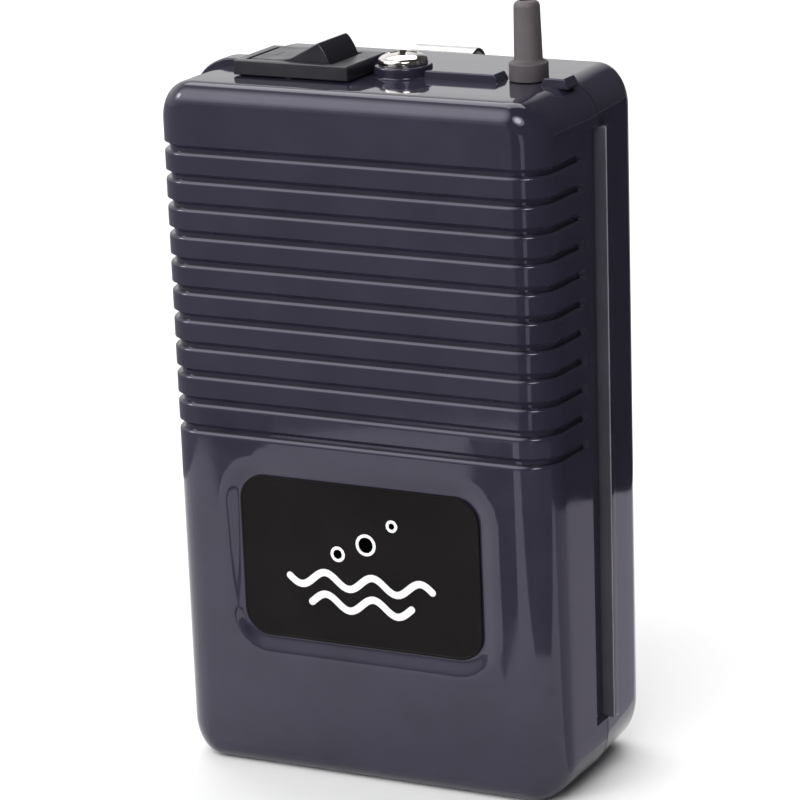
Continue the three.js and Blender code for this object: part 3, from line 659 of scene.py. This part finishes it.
def rear_insides():
    """The shelf under the top, the ledges under the deck and the rib between the cells."""
    shelf_top = height - 4.6 * mm
    shelf_bottom = shelf_top - 3 * mm
    shelf_left = -3.2 * mm
    shelf_right = 31.5 * mm
    shelf_front = front + 13 * mm
    inside_back = front + depth - wall / 2
    shelf_back = inside_back + back_lean * 0.9
    shelf = make_object(
        "screw_shelf", *block(shelf_left, shelf_right, shelf_front, shelf_back, shelf_bottom, shelf_top),
        "case_plastic", "case")
    slot_half = 2.3 * mm
    slot = cutter_object(*block(
        screw_x - slot_half, screw_x + slot_half, front, screw_y + slot_half,
        shelf_bottom - mm, shelf_top + mm))
    round_neck = arc(nipple_x, nipple_y, neck_radius + 0.15 * mm, 0, 345, 23)
    hole = cutter_object(*stack_loops([
        [Vector((a, b, z)) for a, b in round_neck] for z in (shelf_bottom - mm, shelf_top + mm)]))
    cut_away(shelf, [slot, hole])
    ledge_x = 24 * mm
    ledge_half = 6 * mm
    ledge_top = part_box("battery_deck")[0].z
    ledge_bottom = ledge_top - 4 * mm
    for side, word in ((-1, "left"), (1, "right")):
        make_object(f"deck_ledge_{word}", *block(
            side * ledge_x - ledge_half, side * ledge_x + ledge_half,
            front + 38 * mm, inside_back + back_lean * 0.5,
            ledge_bottom, ledge_top), "case_plastic", "case")
    rib_half = 0.9 * mm
    make_object("cell_rib", *block(
        -rib_half, rib_half, front + 33.5 * mm, inside_back, wall / 2, ledge_bottom),
        "case_plastic", "case")


def side_rail(side):
    """The raised rail behind the finger channel, with painted light: a lighter front face and a painted
    highlight on its rounded outer edge.
    """
    word = "left" if side < 0 else "right"
    inner = side * (half_width - 1.4 * mm)
    outer = side * (half_width + rail_height)
    start = seam + 0.22 * mm
    end = start + rail_depth
    near_end = 2 * mm
    loops = []
    for z in (channel_low, channel_low + near_end, channel_high - near_end, channel_high):
        corners = [(inner, start), (outer, start), (outer, end), (inner, end)]
        loops.append([place(x, deep, z) for x, deep in corners])
    rail = make_object(f"side_rail_{word}", *stack_loops(loops), "case_plastic", "case")
    soften(rail, 0.35 * mm)
    # Painted light on the rail: its front face is lighter and its rounded outer edge carries a painted
    # highlight.
    rail.data.materials.append(materials["painted_lit_rail_face"])
    rail.data.materials.append(materials["painted_highlight_rail_edge"])
    for face in rail.data.polygons:
        forward = -face.normal.y
        outward = side * face.normal.x
        gets_painted_light = forward > 0.9
        gets_painted_highlight = forward > 0.35 and outward > 0.3
        if gets_painted_light:
            face.material_index = 1
        elif gets_painted_highlight:
            face.material_index = 2


# ---------- Top of the cover ----------
def pushed_bar(name, outline, rounding):
    """A bar across the top, from an outline of [x, z] points."""
    start = front + bar_front
    bar = make_object(name, *pushed(outline, start, start + bar_depth), "case_plastic", "cover")
    soften(bar, rounding)


def top_bar(name, x0, x1):
    """A raised bar with both ends sloped."""
    low = height - 0.6 * mm
    high = height + rail_height
    slope = 0.8 * mm
    outline = [(x0, low), (x1, low), (x1, height), (x1 - slope, high), (x0 + slope, high), (x0, height)]
    pushed_bar(name, outline, 0.3 * mm)


def corner_bar():
    """The bar at the left, which wraps down over the corner."""
    middle_x = -(half_width - face_corner)
    middle_z = height - face_corner
    end = housing_low.x - 0.4 * mm
    outer = arc(middle_x, middle_z, face_corner + rail_height, 90, 180, 16)
    inner = arc(middle_x, middle_z, face_corner - mm, 180, 90, 16)
    outline = [(end, height + rail_height)] + outer + inner + [(end, height - mm)]
    pushed_bar("corner_bar", outline, 0.35 * mm)


def screw_boss():
    """The round boss that the cover screw stands on."""
    low = height - mm
    top = height + boss_height
    hole = 2.3 * mm
    rounding = 0.4 * mm
    foot = boss_radius + rounding
    profile = [(hole, low), (foot, low), (foot, height)]
    profile += arc(foot, height + rounding, rounding, 270, 180, 4)
    profile += arc(boss_radius - rounding, top - rounding, rounding, 0, 90, 5)
    profile += [(hole, top)]
    make_object("screw_boss", *turned(profile, screw_x, screw_y), "case_plastic", "cover")


def cover_screw():
    """A domed cross-head screw."""
    head_low = height + boss_height
    top = screw_high.z
    head = (screw_high.x - screw_low.x) / 2
    shank = 1.95 * mm
    rim = 0.7 * mm
    axis = 0.02 * mm
    chamfer = 0.2 * mm
    profile = [(axis, screw_low.z), (shank, screw_low.z), (shank, head_low), (head - chamfer, head_low)]
    profile += arc(head - chamfer, head_low + chamfer, chamfer, 270, 360, 3)
    dome_steps = 12
    for i in range(1, dome_steps + 1):
        angle = math.radians(90 * i / dome_steps)
        rise = (top - head_low - rim) * math.sin(angle)
        profile.append((max(axis, head * math.cos(angle)), head_low + rim + rise))
    screw = make_object("screw", *turned(profile, screw_x, screw_y, 72), "bright_screw", "cover_screw", 50)
    turn = math.radians(24)
    recess = [
        (1.1 * mm, 0.32 * mm, top - 1.6 * mm),
        (2.75 * mm, 0.62 * mm, top - 0.2 * mm),
        (3.2 * mm, 0.7 * mm, top + mm),
    ]
    cutters = []
    for quarter in (0, math.pi / 2):
        spin = Matrix.Rotation(quarter + turn, 4, "Z")
        loops = []
        for half_long, half_across, z in recess:
            flat = rectangle(-half_long, half_long, -half_across, half_across, 0)
            loops.append([Vector((screw_x, screw_y, z)) + spin @ corner for corner in flat])
        cutters.append(cutter_object(*stack_loops(loops)))
    cut_away(screw, cutters)
    smooth(screw.data, 30)
    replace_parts(screw, "cover_screw")


# ---------- Switch ----------
pin_z = height + 0.6 * mm
rocker_x = -16.4 * mm
rocker_half = 7.3 * mm
rocker_rise = 4.4 * mm
rocker_tilt = math.radians(14)
rocker_end = 8.6 * mm


def switch_housing():
    """The bezel with its well, and the body below it."""
    top = housing_high.z
    bezel_low = height + 0.2 * mm
    well_low = pin_z - 6 * mm
    well_x = rocker_end + 0.35 * mm
    well_y = 5.8 * mm
    draft = 0.15 * mm
    body = (switch_x - switch_body_half, switch_x + switch_body_half, front + 11 * mm, front + 23.4 * mm)
    bezel = (housing_low.x, housing_high.x, housing_low.y, housing_high.y)
    rim = (bezel[0] + draft, bezel[1] - draft, bezel[2] + draft, bezel[3] - draft)
    well = (rocker_x - well_x, rocker_x + well_x, switch_y - well_y, switch_y + well_y)
    loops = [
        rectangle(*body, housing_low.z),
        rectangle(*body, bezel_low),
        rectangle(*bezel, bezel_low),
        rectangle(*rim, top),
        rectangle(*well, top),
        rectangle(*well, well_low),
    ]
    housing = make_object("switch_bezel", *stack_loops(loops), "switch_plastic", "case")
    soften(housing, 0.3 * mm)
    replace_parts(housing, "switch_housing")


def tilted(points):
    """Turns [x, z] points of the level rocker about its pin to where it rests."""
    along = math.cos(rocker_tilt)
    up = math.sin(rocker_tilt)
    return [(rocker_x + x * along - z * up, pin_z + x * up + z * along) for x, z in points]


def switch_rocker():
    """The rocker, pressed down at its left end, with a sign on each half."""
    peak = math.degrees(math.atan2(rocker_rise, rocker_half))
    right = [(rocker_half, rocker_rise)]
    right += arc(0, 0, rocker_end, peak * 0.85, -3, 8)
    right.append((3 * mm, -4 * mm))
    left = [(-x, z) for x, z in reversed(right)]
    valley = rocker_rise - rocker_half * math.tan(rocker_tilt)
    bowl = 9 * mm
    half_bowl = math.degrees(rocker_tilt)
    centre = valley + bowl / math.cos(rocker_tilt)
    scoop = arc(0, centre, bowl, 270 - half_bowl, 270 + half_bowl, 10)
    outline = tilted(right + left + scoop)
    half_y = 5.5 * mm
    points, faces = pushed(outline, switch_y - half_y, switch_y + half_y)
    rocker = make_object("rocker", points, faces, "switch_plastic", "rocker", 20)
    soften(rocker, 0.28 * mm, degrees=24)
    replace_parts(rocker, "switch_rocker")

    def on_half(side, distance, lift):
        """A point at a distance from the valley, on the left half (-1) or the right half (1)."""
        return side * distance * math.cos(rocker_tilt), valley + distance * math.sin(rocker_tilt) + lift

    def sign(name, side, loop):
        """A printed sign: its loop is [distance from the valley, y] points."""
        loops = []
        for lift in (-0.02 * mm, 0.05 * mm):
            on_rocker = tilted([on_half(side, distance, lift) for distance, _ in loop])
            loops.append([Vector((x, switch_y + y, z)) for (x, z), (_, y) in zip(on_rocker, loop)])
        make_object(name, *stack_loops(loops), "print_grey", "rocker")

    centre_at = 4.6 * mm
    half_line = 1.3 * mm
    thick = 0.22 * mm
    sign("sign_line", -1, [
        (centre_at - thick, -half_line), (centre_at + thick, -half_line),
        (centre_at + thick, half_line), (centre_at - thick, half_line)])
    ring_out = arc(centre_at, 0, 1.2 * mm, 0, 360, 24)
    ring_in = arc(centre_at, 0, 0.8 * mm, 360, 0, 24)
    sign("sign_circle", 1, ring_out + ring_in)


# ---------- Air outlet ----------
def outlet_nipple():
    """The outlet that the air hose pushes onto, slightly tapered, with a collar at its foot."""
    top = nipple_high.z - 0.45 * mm
    low = height + 0.2 * mm
    root = low - 3 * mm
    collar_top = low + 2.9 * mm
    collar = 3.6 * mm
    collar_rounding = 0.35 * mm
    stem = 2.3 * mm
    bore = 1.2 * mm
    tip = 2.4 * mm
    tip_rounding = 1.1 * mm
    chamfer = 0.15 * mm
    profile = [(bore, nipple_low.z), (stem, nipple_low.z), (stem, root), (neck_radius, root)]
    profile += [(neck_radius, low), (collar, low), (collar, collar_top)]
    profile += arc(collar - collar_rounding, collar_top, collar_rounding, 0, 70, 4)
    profile += [(2.75 * mm, low + 3.55 * mm), (2.6 * mm, low + 3.9 * mm)]
    profile += arc(tip - tip_rounding, top - tip_rounding, tip_rounding, 0, 90, 8)
    profile += [(bore + chamfer, top), (bore, top - 0.2 * mm)]
    nipple = make_object("nipple", *turned(profile, nipple_x, nipple_y, 56), "nipple_plastic", "case", 45)
    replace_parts(nipple, "outlet_nipple")


# ---------- Label ----------
def rounded_rectangle(half_x, half_z, radius, steps=8):
    """An outline of [x, z] points about the middle."""
    outline = []
    for side_x, side_z, start in ((1, 1, 0), (-1, 1, 90), (-1, -1, 180), (1, -1, 270)):
        middle_x = side_x * (half_x - radius)
        middle_z = side_z * (half_z - radius)
        outline += arc(middle_x, middle_z, radius, start, start + 90, steps)
    return outline


def label_plate():
    """The black plate with a thin rim."""
    half_x = (label_high.x - label_low.x) / 2
    half_z = (label_high.z - label_low.z) / 2
    corner = 5 * mm
    face = label_low.y
    rim = [
        (0, label_high.y), (0, face + 0.12 * mm), (0.05 * mm, face + 0.04 * mm),
        (0.15 * mm, face), (0.42 * mm, face), (0.5 * mm, face + 0.07 * mm),
    ]
    loops = []
    for inset, y in rim:
        outline = rounded_rectangle(half_x - inset, half_z - inset, corner - inset)
        loops.append([Vector((label_x + a, y, label_z + b)) for a, b in outline])
    plate = make_object("label", *stack_loops(loops), "label_plate", "cover", 25)
    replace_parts(plate, "label_plate")


def printed(name, outline):
    """A thin white print on the label, from [x, z] points about its middle."""
    face = label_low.y + 0.04 * mm
    loops = []
    for y in (face + 0.1 * mm, face):
        loops.append([Vector((label_x + a, y, label_z + b)) for a, b in outline])
    make_object(name, *stack_loops(loops), "print_white", "cover")


def stroke(name, line, thick):
    """A printed line through [x, z] points, with even thickness and round ends."""
    left = []
    right = []
    for i, (x, z) in enumerate(line):
        ahead = line[min(i + 1, len(line) - 1)]
        behind = line[max(i - 1, 0)]
        along = Vector((ahead[0] - behind[0], ahead[1] - behind[1])).normalized()
        left.append((x - along.y * thick, z + along.x * thick))
        right.append((x + along.y * thick, z - along.x * thick))
    first = Vector((line[0][0] - line[1][0], line[0][1] - line[1][1]))
    last = Vector((line[-1][0] - line[-2][0], line[-1][1] - line[-2][1]))
    first_angle = math.degrees(math.atan2(first.y, first.x))
    last_angle = math.degrees(math.atan2(last.y, last.x))
    end_cap = arc(*line[-1], thick, last_angle + 90, last_angle - 90, 8)[1:-1]
    start_cap = arc(*line[0], thick, first_angle + 90, first_angle - 90, 8)[1:-1]
    printed(name, left + end_cap + list(reversed(right)) + start_cap)


def label_mark():
    """A plain mark: two waves with three bubbles over them."""
    wave_rise = 1.35 * mm
    wave_length = 10 * mm
    steps = 48
    for name, z0, half_long in (("wave_upper", -3.2 * mm, 15 * mm), ("wave_lower", -7.4 * mm, 10.5 * mm)):
        line = []
        for i in range(steps + 1):
            x = -half_long + 2 * half_long * i / steps
            line.append((x, z0 + wave_rise * math.sin(2 * math.pi * x / wave_length)))
        stroke(name, line, 0.7 * mm)
    for name, x, z, radius in (
        ("bubble_low", -4.6 * mm, 2.0 * mm, 1.5 * mm),
        ("bubble_middle", 1.4 * mm, 4.4 * mm, 2.1 * mm),
        ("bubble_high", 7.0 * mm, 8.6 * mm, 1.2 * mm),
    ):
        outer = arc(x, z, radius, 0, 360, 36)
        inner = arc(x, z, radius - 0.6 * mm, 360, 0, 36)
        printed(name, outer + inner)


# ---------- Belt clip ----------
clip_angle = math.atan(back_lean / height)
clip_x = (clip_low.x + clip_high.x) / 2
clip_half = (clip_high.x - clip_low.x) / 2
clip_origin_z = 99.9 * mm
clip_steel = 0.8 * mm
clip_bend = 2.6 * mm
clip_top = 27 * mm
clip_centre = gap + clip_steel + clip_bend


def on_clip(x, out, up):
    """A point in the back face's own frame: out of the face, and up along it."""
    origin = Vector((clip_x, front + depth + back_lean * clip_origin_z / height, clip_origin_z))
    return origin + Matrix.Rotation(-clip_angle, 4, "X") @ Vector((x, out, up))


def clip_strip(name, outline, body):
    """An outline of [out, up] points made as wide as the clip."""
    loops = [[on_clip(x, out, up) for out, up in outline] for x in (-clip_half, clip_half)]
    piece = make_object(name, *stack_loops(loops), "clip_steel", body, 25)
    soften(piece, 0.18 * mm, segments=2, degrees=50)
    return piece


def clip_parts():
    """The sprung arm with its bend and its flared foot, and the plate that the rivets hold."""
    outer = clip_bend + clip_steel
    foot = -44 * mm
    knee = -36 * mm
    close = 1.2 * mm
    flare = 2.4 * mm
    inside = clip_centre + clip_bend - close
    outside = clip_centre + outer - close
    outline = arc(clip_centre, clip_top, outer, 180, 0, 18)
    outline += [(outside, knee), (outside + flare, foot)]
    outline += [(inside + flare, foot + 0.3 * mm), (inside, knee)]
    outline += arc(clip_centre, clip_top, clip_bend, 0, 180, 18)
    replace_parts(clip_strip("clip_arm_steel", outline, "clip_arm"), "clip_spring_arm")
    low = -21 * mm
    high = clip_top - 0.8 * mm
    plate = [(gap, low), (gap + clip_steel, low), (gap + clip_steel, high), (gap, high)]
    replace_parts(clip_strip("clip_plate_steel", plate, "case"), "clip_base_plate")
    for side in (-1, 1):
        rivet_head(side)


def rivet_head(side):
    """A domed rivet head on the clip's plate."""
    word = "left" if side < 0 else "right"
    rivet_x = side * 3.6 * mm
    rivet_up = -16 * mm
    flatness = 0.38
    axis = 0.05 * mm
    base = gap + clip_steel
    loops = []
    for radius, rise in arc(0, 0, 2.1 * mm, 0, 90, 6)[:-1]:
        ring = arc(rivet_x, rivet_up, max(radius, axis), 0, 345, 23)
        loops.append([on_clip(x, base + rise * flatness, up) for x, up in ring])
    rivet = make_object(f"rivet_{word}", *stack_loops(loops), "plain_steel", "case", 50)
    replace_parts(rivet, f"clip_rivet_{word}")


# ---------- Diaphragm ----------
def diaphragm():
    """The rubber diaphragm, whose middle goes with the lever in the real pump; here it is copied from its
    imported node and rides on no body.
    """
    node = frame["nodes"]["diaphragm"]
    points = [node.matrix_world @ v.co for v in node.data.vertices]
    faces = [tuple(face.vertices) for face in node.data.polygons]
    piece = make_object("rubber_diaphragm", points, faces, "black_rubber", None, 25)
    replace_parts(piece, "diaphragm")
    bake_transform(piece)


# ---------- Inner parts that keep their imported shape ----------
def dress_inner_parts():
    """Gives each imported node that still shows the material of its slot."""
    slots = {part["node"]: part["material_slot"] for part in frame["record"]["subparts"]}
    for name, node in frame["nodes"].items():
        if node.hide_render:
            continue
        node.data.materials.clear()
        node.data.materials.append(materials[slots[name]])
        smooth(node.data, 25)


# ---------- Floor and light ----------
def emission(name, strength, colour=(1, 1, 1)):
    """A plain glowing material."""
    material = bpy.data.materials.new(name)
    material.use_nodes = True
    tree = material.node_tree
    tree.nodes.clear()
    shader = tree.nodes.new("ShaderNodeEmission")
    shader.inputs["Color"].default_value = (*colour, 1)
    shader.inputs["Strength"].default_value = strength
    output = tree.nodes.new("ShaderNodeOutputMaterial")
    tree.links.new(shader.outputs["Emission"], output.inputs["Surface"])
    return material


def stage_mesh(name, points, faces, material):
    """A part of the studio, which isn't part of the object."""
    mesh = bpy.data.meshes.new(name)
    mesh.from_pydata([tuple(p) for p in points], [], faces)
    mesh.materials.append(material)
    piece = bpy.data.objects.new(name, mesh)
    bpy.context.scene.collection.objects.link(piece)
    return piece


def add_floor():
    """A plain pale floor."""
    material, tree, shader = start_material("floor")
    shader.inputs["Roughness"].default_value = 0.9
    colour_between(tree, noise(tree, 3), (0.93, 0.93, 0.93), (0.95, 0.95, 0.95), shader.inputs["Base Color"])
    half = 4.0
    stage_mesh("floor", rectangle(-half, half, -half, half, 0), [(0, 1, 2, 3)], material)


def only_in_gloss(piece):
    """Hides a stage piece from everything but reflections."""
    piece.visible_camera = False
    piece.visible_diffuse = False
    piece.visible_shadow = False
    piece.visible_transmission = False


def seen_in_front(x, z):
    """Where on the floor the flat front mirrors the camera's view, for a point of the front."""
    view = Vector((x, front, z)) - bpy.context.scene.camera.matrix_world.translation
    share = z / -view.z
    return Vector((x + share * view.x, front - share * view.y, 2 * mm))


def glow(name, points, strength, colour=(1, 1, 1)):
    """A flat glowing shape that only the gloss sees."""
    face = tuple(range(len(points)))
    only_in_gloss(stage_mesh(name, points, [face], emission(name, strength, colour)))


def add_surround():
    """What the gloss sees of the room beyond the table, in dark and bright sectors, and a shaded
    patch of the table at the right."""
    table = 0.227
    table_y = -0.042
    far = 3.5
    sides = 96
    for name, start, end, strength in (
        ("surround_front", 180, 268, 0.33), ("surround_dark", 268, 296, 0.01),
        ("surround_card", 296, 307, 1.0), ("surround_right", -53, 84, 0.01),
        ("surround_back", 84, 180, 0.35),
    ):
        inner = arc(0, table_y, table, start, end, sides)
        outer = arc(0, table_y, far, start, end, sides)
        points = [Vector((x, y, mm)) for x, y in inner + outer]
        count = len(inner)
        faces = [(i, i + 1, count + i + 1, count + i) for i in range(count - 1)]
        only_in_gloss(stage_mesh(name, points, faces, emission(name, strength)))
    violet = (0.90, 0.86, 1.0)
    shade = rectangle(half_width + 4 * mm, table, front + 10 * mm, table, mm / 2)
    glow("table_shade", shade, 0.74, violet)


def add_wedges():
    """Dark shapes on the table, for the wedges that the photo shows in the lower front."""
    wedges = {
        "wedge_right": [(29.5, 22), (34, 40), (35.5, 68), (24, 68), (25, 44)],
        "wedge_left": [(-29, 48), (-26, 56), (-19, 60), (-17, 68), (-33, 68), (-30, 56)],
    }
    for name, corners in wedges.items():
        glow(name, [seen_in_front(x * mm, z * mm) for x, z in corners], 0.14)
    rounding_x = half_width - side_edge / 2
    rim = arc(rounding_x, front, 245 * mm, 254, 357, 16) + arc(rounding_x, front, 80 * mm, 335, 285, 8)
    glow("wedge_corner", [Vector((x, y, 2 * mm)) for x, y in rim], 0.22)


def add_world():
    """A bright horizon that dims overhead and towards the right."""
    world = bpy.data.worlds.new("world")
    bpy.context.scene.world = world
    world.use_nodes = True
    tree = world.node_tree
    background = tree.nodes["Background"]
    direction = tree.nodes.new("ShaderNodeTexCoord")
    split = tree.nodes.new("ShaderNodeSeparateXYZ")
    tree.links.new(direction.outputs["Generated"], split.inputs["Vector"])

    def shade(axis, stops):
        """Grey by the direction's share along an axis; stops are [share, grey]."""
        scale = tree.nodes.new("ShaderNodeMapRange")
        scale.inputs["From Min"].default_value = -1
        tree.links.new(split.outputs[axis], scale.inputs["Value"])
        ramp = tree.nodes.new("ShaderNodeValToRGB")
        while len(ramp.color_ramp.elements) < len(stops):
            ramp.color_ramp.elements.new(0.5)
        for element, (share, grey) in zip(ramp.color_ramp.elements, stops):
            element.position = (share + 1) / 2
            element.color = (grey, grey, grey, 1)
        tree.links.new(scale.outputs["Result"], ramp.inputs["Fac"])
        return ramp.outputs["Color"]

    mix = tree.nodes.new("ShaderNodeMix")
    mix.data_type = "RGBA"
    mix.blend_type = "MULTIPLY"
    mix.inputs["Factor"].default_value = 1
    tree.links.new(shade("Z", [(0.0, 0.55), (0.2, 1.0), (0.45, 1.0), (0.85, 0.5)]), mix.inputs["A"])
    tree.links.new(shade("X", [(-0.42, 1.0), (-0.12, 0.07)]), mix.inputs["B"])
    tree.links.new(mix.outputs["Result"], background.inputs["Color"])
    background.inputs["Strength"].default_value = 1.1


def add_lamp(name, where, aim, size, power):
    """A square lamp pointed at the aim."""
    data = bpy.data.lights.new(name, "AREA")
    data.size = size
    data.energy = power
    lamp = bpy.data.objects.new(name, data)
    lamp.location = where
    lamp.rotation_euler = (Vector(aim) - Vector(where)).to_track_quat("-Z", "Y").to_euler()
    bpy.context.scene.collection.objects.link(lamp)
    return lamp


def soft_card(name, where, radius, strength):
    """A round glow facing the object."""
    turn = where.to_track_quat("Z", "Y")
    glow(name, [where + turn @ Vector((a, b, 0)) for a, b in arc(0, 0, radius, 0, 350, 35)], strength)


def add_lights():
    """A broad soft key, its glow, two lamps over the floor, and the glints at the top corners."""
    key = add_lamp("key", (0.0, -1.15, 1.1), (0, 0, height / 2), 1.6, 25)
    key.visible_glossy = False
    key_glow = Vector((-0.75, -0.89, 1.09))
    for i, strength in enumerate((1.0, 2.1, 3.0, 3.8)):
        nearer = 1 - 0.01 * i
        soft_card(f"key_card_{i}", key_glow * nearer, 1.08 - 0.22 * i, strength)
    add_lamp("top", (-0.5, 1.0, 1.9), (0, 0.6, 0), 1.6, 24)
    fill = add_lamp("fill", (0.35, 1.3, 1.7), (0.2, 0, 0), 1.3, 14)
    fill.visible_glossy = False
    for name, where in (
        ("glint_right", Vector((0.62, -0.78, 0.85))), ("glint_left", Vector((-1.1, -0.6, 0.75))),
    ):
        soft_card(f"{name}_halo", where, 0.36, 3.5)
        soft_card(name, where * 0.99, 0.20, 12)


# ---------- Build ----------
materials = make_materials()
materials.update(make_prints_and_painted_light())

add_camera()
cover_shell()
rear_shell()
rear_insides()
side_rail(-1)
side_rail(1)
corner_bar()
top_bar("top_bar_middle", screw_x + boss_radius - mm, nipple_x - nipple_clearance)
top_bar("top_bar_right", nipple_x + nipple_clearance, half_width - 3 * mm)
screw_boss()
cover_screw()
switch_housing()
switch_rocker()
outlet_nipple()
label_plate()
label_mark()
clip_parts()
diaphragm()
dress_inner_parts()
add_floor()
add_surround()
add_wedges()
add_world()
add_lights()
bpy.context.scene.view_settings.view_transform = "Standard"
